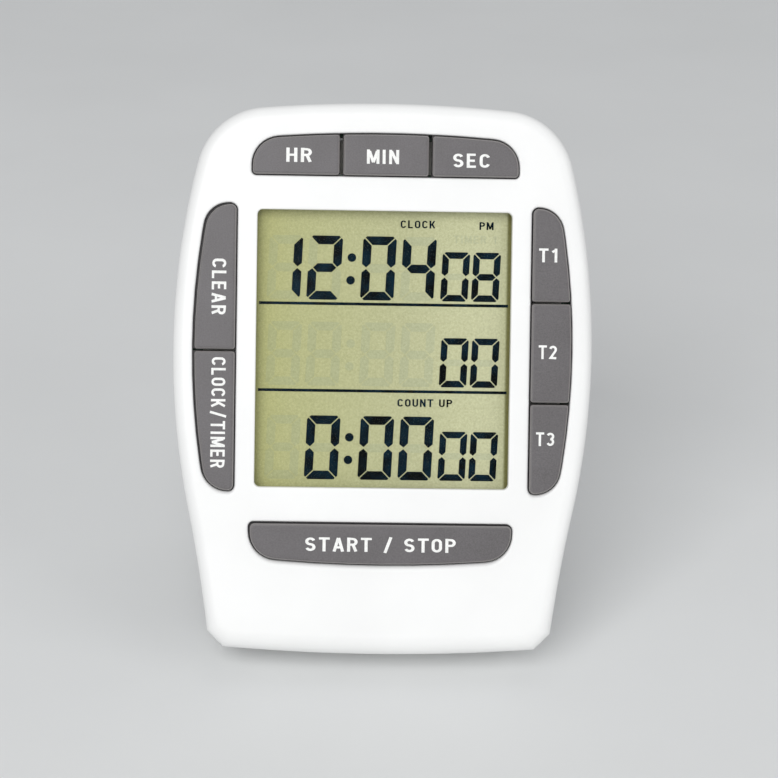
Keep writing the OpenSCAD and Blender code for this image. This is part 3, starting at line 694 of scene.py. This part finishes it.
def front_shell():
    low, high = window_span()
    corners = [(low.x, low.z), (high.x, low.z), (high.x, high.z), (low.x, high.z)]
    window = rounded([(x, z, WINDOW_CORNER_R) for x, z in corners])
    # Outline, radius of its rim, and how much larger the rim is along the lower edge
    recesses = [
        (window, WINDOW_RIM_R, 0),
        (wider(ROW_ZONE, (0, 1), 0.06), RECESS_RIM_R, 0),
        (wider(LEFT_ZONE, (-0.8, 0.6), 0.3), RECESS_RIM_R, 0.5),
        (wider(RIGHT_ZONE, (0, 1), 0.05), RECESS_RIM_R, 0.5),
        (wider(START_ZONE, (-0.7, 0.7), 0.2), RECESS_RIM_R, 0.6),
    ]
    bm = bmesh.new()
    radii = [FACE_EDGE_R + BOTTOM_ROLL * max(0, 1 - z / BOTTOM_ROLL_HEIGHT) ** 1.5 for x, z in OUTLINE]
    parting = ring(bm, grown(OUTLINE, -PARTING_GROOVE), FRONT_D)
    loop = onward(bm, parting, OUTLINE, FRONT_D - PARTING_GROOVE)
    loop = onward(bm, loop, OUTLINE, radii)
    face = [roll(bm, loop, OUTLINE, radii, 0, -1, 9)]
    loop = onward(bm, parting, grown(OUTLINE, -WALL), FRONT_D)
    loop = onward(bm, loop, grown(OUTLINE, -WALL), WALL + INNER_EDGE)
    inside = [onward(bm, loop, grown(OUTLINE, -WALL - INNER_EDGE), WALL)]
    for points, radius, below in recesses:
        radii = rim(points, radius, below)
        foot = ring(bm, points, WALL)
        inside.append(foot)
        face.append(roll(bm, onward(bm, foot, points, radii), points, radii, 0, 1))
    fill(bm, face)
    fill(bm, inside)
    for x, z in screw_places():
        foot, bore_end = WALL - SCREW_POST_SINK, WALL + SCREW_BORE_FLOOR
        spun(bm, [(SCREW_BORE_R, FRONT_D), (SCREW_POST_R, FRONT_D), (SCREW_POST_R, foot), (0, foot)], (x, z))
        spun(bm, [(0, bore_end), (SCREW_BORE_R, bore_end), (SCREW_BORE_R, FRONT_D)], (x, z))
    piece("front_shell_moulding", bm, "case", ABS, ["front_shell"])


# ---- Keys ----


def key_cap(name, points, zone, lowest, highest):
    """A keycap with its rolled edge, and the flange that keeps it in the case"""
    bm = bmesh.new()
    radii = [KEY_EDGE_R] * len(points)
    foot = ring(bm, points, FLANGE_Y + FLANGE_T)
    loop = onward(bm, foot, points, KEY_EDGE_R - KEY_PROUD)
    crown = roll(bm, loop, points, radii, -KEY_PROUD, -1, margin=KEY_MARGIN)
    fill(bm, [foot])
    fill(bm, [crown])
    flange = bmesh.new()
    fill(flange, [ring(flange, grown(zone, FLANGE_REACH), FLANGE_Y)])
    deepen = bmesh.ops.extrude_face_region(flange, geom=flange.faces[:])["geom"]
    moved = [part for part in deepen if isinstance(part, bmesh.types.BMVert)]
    bmesh.ops.translate(flange, vec=(0, FLANGE_T, 0), verts=moved)
    for corner, way in ((lowest, -1), (highest, 1)):
        for normal in ((way, 0, 0), (0, 0, way)):
            bmesh.ops.bisect_plane(flange, geom=flange.verts[:] + flange.edges[:] + flange.faces[:],
                                   plane_co=(corner[0], 0, corner[1]), plane_no=normal, clear_outer=True)
            bmesh.ops.holes_fill(flange, edges=[e for e in flange.edges if e.is_boundary], sides=0)
    spare = bpy.data.meshes.new("flange")
    flange.to_mesh(spare)
    flange.free()
    bm.from_mesh(spare)
    bpy.data.meshes.remove(spare)
    # The 'edge' weight peaks halfway round the rolled edge, where the key's material paints a highlight
    edge = bm.verts.layers.float.new("edge")
    for vert in bm.verts:
        below = vert.co.y + KEY_PROUD
        vert[edge] = math.sin(math.pi * min(1, below / KEY_EDGE_R)) if below > 0 else 0
    node = "key_" + name
    piece("keycap_" + name, bm, frame["nodes"][node]["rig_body"], GREY, [node])


# ---- Lettering: a plain narrow sans, drawn with strokes in a box 1 high ----

PEN = 0.08
INK_T = 0.03
INK_STEP = 0.004
LOW, MID, HIGH = PEN, 0.5, 1 - PEN
LEFT, RIGHT = PEN, 0.46
MIDDLE = (LEFT + RIGHT) / 2
BOWL = (RIGHT - LEFT) / 2
TRACKING = 0.15


def bend(centre_z, height, start, end, centre_x=MIDDLE, width=BOWL):
    """A part of an ellipse, as points"""
    return [(centre_x + width * x, centre_z + height * z) for x, z in arc((0, 0), 1, start, end, 10)]


HEAD = bend(0.7, 0.2, 90, -90, 0.3, 0.16)
STEM = [(LEFT, 0), (LEFT, 1)]
POST = [(RIGHT, 0), (RIGHT, 1)]
ROUND_TOP, ROUND_FOOT = bend(0.68, 0.22, 15, 165), bend(0.32, 0.22, 195, 345)
GLYPHS = {
    "A": (0.6, [[(0.08, 0), (0.29, 0.97)], [(0.52, 0), (0.31, 0.97)], [(0.16, 0.3), (0.44, 0.3)]]),
    "C": (0.56, [ROUND_TOP + [(LEFT, 0.6), (LEFT, 0.4)] + ROUND_FOOT]),
    "E": (0.52, [[(RIGHT, HIGH), (LEFT, HIGH), (LEFT, LOW), (RIGHT + 0.02, LOW)],
                 [(LEFT, MID), (0.42, MID)]]),
    "H": (0.56, [STEM, POST, [(LEFT, MID), (RIGHT, MID)]]),
    "I": (0.2, [STEM]),
    "K": (0.56, [STEM, [(0.17, 0.38), (0.47, 0.97)], [(0.25, 0.55), (0.48, 0.03)]]),
    "L": (0.5, [[(LEFT, 1), (LEFT, LOW), (RIGHT, LOW)]]),
    "M": (0.7, [STEM, [(0.6, 0), (0.6, 1)], [(0.14, 0.9), (0.35, 0.1)], [(0.56, 0.9), (0.35, 0.1)]]),
    "N": (0.56, [STEM, POST, [(0.13, 0.9), (0.43, 0.1)]]),
    "O": (0.56, [bend(0.68, 0.22, 0, 180) + bend(0.32, 0.22, 180, 360) + [(RIGHT, 0.68)]]),
    "P": (0.54, [STEM, [(LEFT, HIGH)] + HEAD + [(LEFT, MID)]]),
    "R": (0.56, [STEM, [(LEFT, HIGH)] + HEAD + [(LEFT, MID)], [(0.3, 0.5), (0.46, 0.02)]]),
    "S": (0.56, [bend(0.7, 0.2, 20, 270) + bend(0.3, 0.2, 90, -160)[1:]]),
    "T": (0.56, [[(0, HIGH), (0.56, HIGH)], [(MIDDLE, HIGH), (MIDDLE, 0)]]),
    "U": (0.56, [[(LEFT, 1)] + bend(0.3, 0.2, 180, 360) + [(RIGHT, 1)]]),
    "1": (0.4, [[(0.3, 0), (0.3, 1)], [(0.08, 0.74), (0.28, 0.88)]]),
    "2": (0.56, [bend(0.7, 0.2, 165, -35) + [(0.12, LOW + 0.02), (0.5, LOW)]]),
    "3": (0.56, [bend(0.71, 0.19, 155, -80), bend(0.31, 0.21, 90, -155)]),
    "/": (0.6, [[(0.15, -0.06), (0.45, 1.06)]]),
    " ": (0.24, []),
}


def stroke(bm, path, along, depth):
    """A stroke of the pen: a flat ribbon PEN wide to each side of a path, moved along by along"""
    places = [Vector(point) for point in path]
    sides = []
    for i, here in enumerate(places):
        ways = [(b - a).normalized() for a, b in zip(places[max(i - 1, 0):i + 1], places[max(i, 1):i + 2])
                if (b - a).length > 0]
        normals = [Vector((-way.y, way.x)) for way in ways] or [Vector((0, 1))]
        first, last = normals[0], normals[-1]
        move = (first + last) / (1 + first.dot(last)) * PEN
        sides.append([bm.verts.new((along + q.x, depth, q.y)) for q in (here + move, here - move)])
    for (a, b), (d, c) in zip(sides, sides[1:]):
        bm.faces.new((a, b, c, d))


def lettering(name, words, body, at, depth, size, material, turned=False):
    """Words width by height (size) about at = (x, z), their front INK_T before depth"""
    bm = bmesh.new()
    along = 0
    for letter in words:
        width, strokes = GLYPHS[letter]
        for i, path in enumerate(strokes):
            stroke(bm, path, along, -INK_STEP * i)
        along += width + TRACKING
    along -= TRACKING
    aside = Matrix.Rotation(math.pi / 2 if turned else 0, 4, "Y")
    fit = Matrix.Diagonal((size[0] / along, 1, size[1], 1)) @ Matrix.Translation((-along / 2, 0, -0.5))
    place = Matrix.Translation((at[0], depth, at[1])) @ aside @ fit
    bmesh.ops.transform(bm, matrix=place, verts=bm.verts)
    thicken(bm, -INK_T)
    piece(name, bm, body, material)


def thicken(bm, depth):
    """Flat faces given depth along Y"""
    made = bmesh.ops.extrude_face_region(bm, geom=bm.faces[:], use_keep_orig=True)["geom"]
    moved = [part for part in made if isinstance(part, bmesh.types.BMVert)]
    bmesh.ops.translate(bm, vec=(0, depth, 0), verts=moved)


# Words, key, middle (x, z), width and height of the words, turned a quarter clockwise
LEGENDS = [
    ("HR", "hour", (-14.4, 83.3), (4.3, 2.35), False),
    ("MIN", "minute", (-0.5, 83.2), (5.4, 2.35), False),
    ("SEC", "second", (14.2, 82.8), (6.2, 2.35), False),
    ("CLEAR", "clear", (-27.4, 61.3), (9.3, 2.4), True),
    ("CLOCK/TIMER", "mode", (-27.3, 40.4), (18.4, 2.4), True),
    ("T1", "timer_1", (27.2, 67.3), (3.1, 2.3), False),
    ("T2", "timer_2", (27.4, 51.2), (3.1, 2.3), False),
    ("T3", "timer_3", (27.2, 36.7), (3.1, 2.3), False),
    ("START / STOP", "start_stop", (0, 18.7), (25.1, 2.35), False),
]


def legends():
    for words, key, at, size, turned in LEGENDS:
        lettering("legend_" + key, words, frame["nodes"]["key_" + key]["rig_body"], at, -KEY_PROUD, size, INK,
                  turned)


# ---- Display ----

SLANT = math.tan(math.radians(2.5))
SEGMENT_GAP = 0.13
SEGMENT_DEPTH = POLARISER_Y - 0.01

# Width, height and bar of a digit
LARGE = (5.6, 10.7, 1.45)
SMALL = (4.6, 8.25, 1.1)

# The bars that each digit drives
LIT = {"0": "abcdef", "1": "bc", "2": "abged", "4": "fgbc", "8": "abcdefg", " ": ""}

# Left edge of each digit of a row, with its size
CELLS = [(-19.6, LARGE), (-12.95, LARGE), (-3.95, LARGE), (2.75, LARGE), (9.47, SMALL), (14.65, SMALL)]
COLON_X = -5.7
COLON_HEIGHTS = (3.3, 7.1)
COLON_R = 0.72

# Foot of each row, its digits, and whether its colon shows
ROWS = [(59.4, "120408", True), (45.0, "    00", False), (29.3, " 00000", True)]
DIVIDERS = (58.75, 44.2)
DIVIDER_SIZE = (41.7, INK_T, 0.48, 1)


def bars(width, height, stroke):
    """The seven bars of a digit, each a list of (x, z) from its lower left corner"""
    gap, middle, crop = SEGMENT_GAP, height / 2, stroke * 0.34
    top = [(gap + crop, height), (gap + crop / 2, height - crop / 2), (gap + stroke, height - stroke),
           (width - gap - stroke, height - stroke), (width - gap - crop / 2, height - crop / 2),
           (width - gap - crop, height)]
    upper = [(0, height - gap - crop), (crop / 2, height - gap - crop / 2), (stroke, height - gap - stroke),
             (stroke, middle + gap + stroke / 2), (stroke / 2, middle + gap),
             (0, middle + gap + stroke * 0.4)]
    centre = [(gap + stroke / 2, middle), (gap + stroke, middle + stroke / 2),
              (width - gap - stroke, middle + stroke / 2), (width - gap - stroke / 2, middle),
              (width - gap - stroke, middle - stroke / 2), (gap + stroke, middle - stroke / 2)]

    def lower(points):
        return [(x, height - z) for x, z in points]

    def right(points):
        return [(width - x, z) for x, z in points]

    return {"a": top, "d": lower(top), "f": upper, "e": lower(upper), "b": right(upper),
            "c": lower(right(upper)), "g": centre}


def draw_bars(bm, x, z, size, names):
    shapes = bars(*size)
    for name in names:
        verts = [bm.verts.new((x + px + pz * SLANT, SEGMENT_DEPTH, z + pz)) for px, pz in shapes[name]]
        bm.faces.new(verts)


def draw_colon(bm, z):
    for height in COLON_HEIGHTS:
        dot = Matrix.Translation((COLON_X + height * SLANT, SEGMENT_DEPTH, z + height)) \
            @ Matrix.Rotation(math.pi / 2, 4, "X")
        bmesh.ops.create_circle(bm, cap_ends=True, segments=28, radius=COLON_R, matrix=dot)


def segments():
    lit, unlit = bmesh.new(), bmesh.new()
    for foot, digits, colon in ROWS:
        draw_colon(lit if colon else unlit, foot)
        for digit, (x, size) in zip(digits, CELLS):
            draw_bars(lit, x, foot, size, LIT[digit])
            draw_bars(unlit, x, foot, size, [n for n in "abcdefg" if n not in LIT[digit]])
    for name, bm, material in (("display_lit_segments", lit, DARK), ("display_unlit_segments", unlit, FAINT)):
        thicken(bm, -INK_T)
        piece(name, bm, "case", material)


def dividers():
    bm = bmesh.new()
    for z in DIVIDERS:
        place = Matrix.Translation((0.05, SEGMENT_DEPTH, z)) @ Matrix.Diagonal(DIVIDER_SIZE)
        bmesh.ops.create_cube(bm, size=1, matrix=place)
    piece("display_dividers", bm, "case", DARK)


def captions():
    for name, words, at, size, material in (
            ("clock", "CLOCK", (5.6, 72.2), (5.8, 1.3), DARK),
            ("pm", "PM", (17.1, 72.1), (2.4, 1.3), DARK),
            ("count_up", "COUNT UP", (7.2, 42.3), (9.2, 1.3), DARK),
            ("unlit_timer", "TIMER 1", (15.2, 69.8), (7.2, 1.3), FAINT)):
        lettering("caption_" + name, words, "case", at, SEGMENT_DEPTH, size, material)


# ---- Pieces that keep their CAD shape, with softened edges ----


def softened(node, name, radius_mm, material, sharp=35):
    """A copy of a CAD node with flat faces joined and sharp edges rounded"""
    bm = bmesh.new()
    bm.from_mesh(frame["nodes"][node].data)
    bmesh.ops.remove_doubles(bm, verts=bm.verts, dist=MM / 2000)
    bmesh.ops.dissolve_limit(bm, angle_limit=math.radians(0.5), verts=bm.verts, edges=bm.edges)
    if radius_mm:
        edges = [e for e in bm.edges if e.is_manifold and e.calc_face_angle() > math.radians(sharp)]
        bmesh.ops.bevel(bm, geom=edges, offset=radius_mm * MM, affect="EDGES", segments=2, profile=0.5,
                        material=-1, clamp_overlap=True)
    piece(name, bm, frame["nodes"][node]["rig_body"], material, [node], Matrix.Identity(4), 40)


# ---- Floor, light and camera ----


FLOOR_HALF = 3
SKY = 0.42

# Name, place in metres, width in metres, watts
SOFT_LIGHTS = [
    ("soft_front", (-0.3, -0.85, 0.7), 0.7, 6.7),
    ("soft_right", (0.75, -0.5, 0.4), 0.6, 1.6),
    ("soft_above", (0.05, 0.2, 0.95), 0.6, 0.8),
]


def studio():
    bm = bmesh.new()
    bmesh.ops.create_grid(bm, x_segments=1, y_segments=1, size=FLOOR_HALF)
    mesh = bpy.data.meshes.new("studio_floor")
    bm.to_mesh(mesh)
    bm.free()
    mesh.materials.append(studio_floor())
    floor = bpy.data.objects.new("studio_floor", mesh)
    bpy.context.scene.collection.objects.link(floor)

    world = bpy.data.worlds.new("studio")
    world.use_nodes = True
    world.node_tree.nodes["Background"].inputs["Color"].default_value = colour("#F4F6F8")
    world.node_tree.nodes["Background"].inputs["Strength"].default_value = SKY
    bpy.context.scene.world = world
    bpy.context.scene.view_settings.view_transform = "Standard"

    middle = CASE @ Vector((0, 0, CASE_H / 2))
    for name, place, width, watts in SOFT_LIGHTS:
        light = bpy.data.lights.new(name, "AREA")
        light.shape = "SQUARE"
        light.size = width
        light.energy = watts
        lamp = bpy.data.objects.new(name, light)
        lamp.location = Vector(place)
        lamp.rotation_euler = (middle - Vector(place)).to_track_quat("-Z", "Y").to_euler()
        bpy.context.scene.collection.objects.link(lamp)


# The view: degrees, metres, and the point of the case that it is aimed at, in mm
VIEW_AZIMUTH = -2.0
VIEW_ABOVE_FACE = 2.0
VIEW_DISTANCE = 0.45
VIEW_WIDTH = 0.1295
VIEW_ROLL = 1.7
VIEW_AIM = Vector((1.05, 0, 44.7))


def camera():
    data = bpy.data.cameras.new("camera")
    data.sensor_width = 36
    data.lens = data.sensor_width * VIEW_DISTANCE / VIEW_WIDTH
    data.clip_start = 0.01
    azimuth, height = math.radians(VIEW_AZIMUTH), LEAN + math.radians(VIEW_ABOVE_FACE)
    level = math.cos(height)
    away = Vector((math.sin(azimuth) * level, -math.cos(azimuth) * level, math.sin(height)))
    eye = bpy.data.objects.new("camera", data)
    look = (-away).to_track_quat("-Z", "Y").to_matrix().to_4x4()
    aim = CASE @ VIEW_AIM
    eye.matrix_world = Matrix.Translation(aim + away * VIEW_DISTANCE) @ look \
        @ Matrix.Rotation(math.radians(VIEW_ROLL), 4, "Z")
    bpy.context.scene.collection.objects.link(eye)
    bpy.context.scene.camera = eye


camera()
studio()
finish_cad_nodes()
front_shell()
for key in KEYS:
    key_cap(*key)
legends()
segments()
dividers()
captions()
softened("rear_shell", "rear_shell_moulding", 0.15, ABS)
softened("stand", "stand_moulding", 0.35, ABS)
softened("battery_door", "battery_door_moulding", 0.25, ABS)
softened("magnets", "magnet_discs", 0.2, CAD_FINISHES["magnets"])
